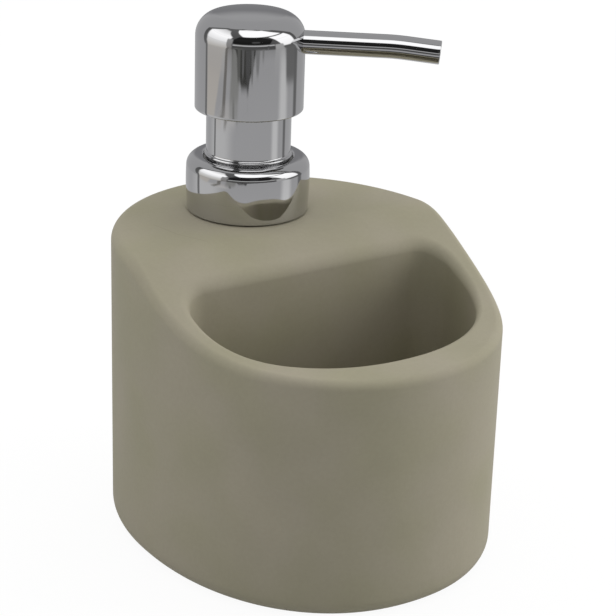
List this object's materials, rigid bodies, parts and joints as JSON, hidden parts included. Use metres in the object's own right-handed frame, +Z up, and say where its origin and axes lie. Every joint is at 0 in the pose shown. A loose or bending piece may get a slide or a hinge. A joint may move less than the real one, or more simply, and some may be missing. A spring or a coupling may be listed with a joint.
{
  "type": "ceramic soap dispenser",
  "caption": "Free-standing ceramic soap dispenser with a D-shaped sponge pocket in front and a chromed lotion pump.",
  "frame": {"origin": "on the level of the foot, under the middle of the overall box of the body and the pump", "axes": "+Z up along the pump, -Y towards the front of the sponge pocket, +X to the right seen from the front"},
  "size_m": [0.101, 0.1188, 0.1429],
  "materials": {
    "greige_ceramic": "matt, warm greige",
    "chrome_plate": "mirror-bright plating",
    "grey_silicone": "satin, translucent grey",
    "white_polypropylene": "moulded, satin white",
    "natural_polypropylene": "moulded, milky",
    "grey_polypropylene": "moulded, satin grey",
    "polyethylene_foam": "closed-cell foam",
    "soft_polyethylene": "soft, milky",
    "natural_polyethylene": "extruded, milky",
    "white_acetal": "moulded, white",
    "grey_acetal": "moulded, grey",
    "white_abs": "moulded, white",
    "ball_steel": "polished ball",
    "spring_steel": "drawn wire",
    "drawn_steel": "drawn tube"
  },
  "bodies": {
    "ceramic": {"ceramic_body": "greige_ceramic"},
    "plug": {"neck_plug": "white_polypropylene", "plug_seal": "grey_silicone"},
    "pump_unit": {"neck_gasket": "polyethylene_foam", "pump_barrel": "natural_polypropylene", "barrel_cap": "white_acetal", "splash_seal": "soft_polyethylene", "guide_sleeve": "chrome_plate", "dip_tube": "natural_polyethylene", "ball_cage": "grey_acetal", "return_spring": "spring_steel"},
    "collar": {"collar_shell": "chrome_plate", "collar_liner": "grey_polypropylene"},
    "plunger": {"piston_rod": "white_polypropylene", "stem_tube": "drawn_steel"},
    "head": {"head_shell": "chrome_plate", "head_hub": "white_abs", "spout_tube": "chrome_plate"},
    "seal": {"piston_seal": "soft_polyethylene"},
    "ball": {"inlet_ball": "ball_steel"}
  },
  "joints": [
    {"name": "plug_pull", "type": "slide", "parent": "ceramic", "child": "plug", "axis": [0, 0, 1], "range_m": [0, 0.1]},
    {"name": "pump_rise", "type": "slide", "parent": "plug", "child": "pump_unit", "axis": [0, 0, 1], "range_m": [0, 0.0063]},
    {"name": "collar_turn", "type": "hinge", "parent": "pump_unit", "child": "collar", "pos_m": [0, 0.0311, 0.0855], "axis": [0, 0, 1], "range_deg": [0, 540]},
    {"name": "head_press", "type": "slide", "parent": "pump_unit", "child": "plunger", "axis": [0, 0, -1], "range_m": [0, 0.0105], "stiffness_N_per_m": 350, "springref_m": -0.012, "deforming": ["return_spring"]},
    {"name": "head_swivel", "type": "hinge", "parent": "plunger", "child": "head", "pos_m": [0, 0.0311, 0.0855], "axis": [0, 0, 1], "continuous": true},
    {"name": "seal_slip", "type": "slide", "parent": "plunger", "child": "seal", "axis": [0, 0, 1], "range_m": [0, 0.0012]},
    {"name": "ball_lift", "type": "slide", "parent": "pump_unit", "child": "ball", "axis": [0, 0, 1], "range_m": [0, 0.001]}
  ],
  "couplings": [
    {"joint": "collar_turn", "follows": "pump_rise", "rad_per_m": 1485.4}
  ]
}
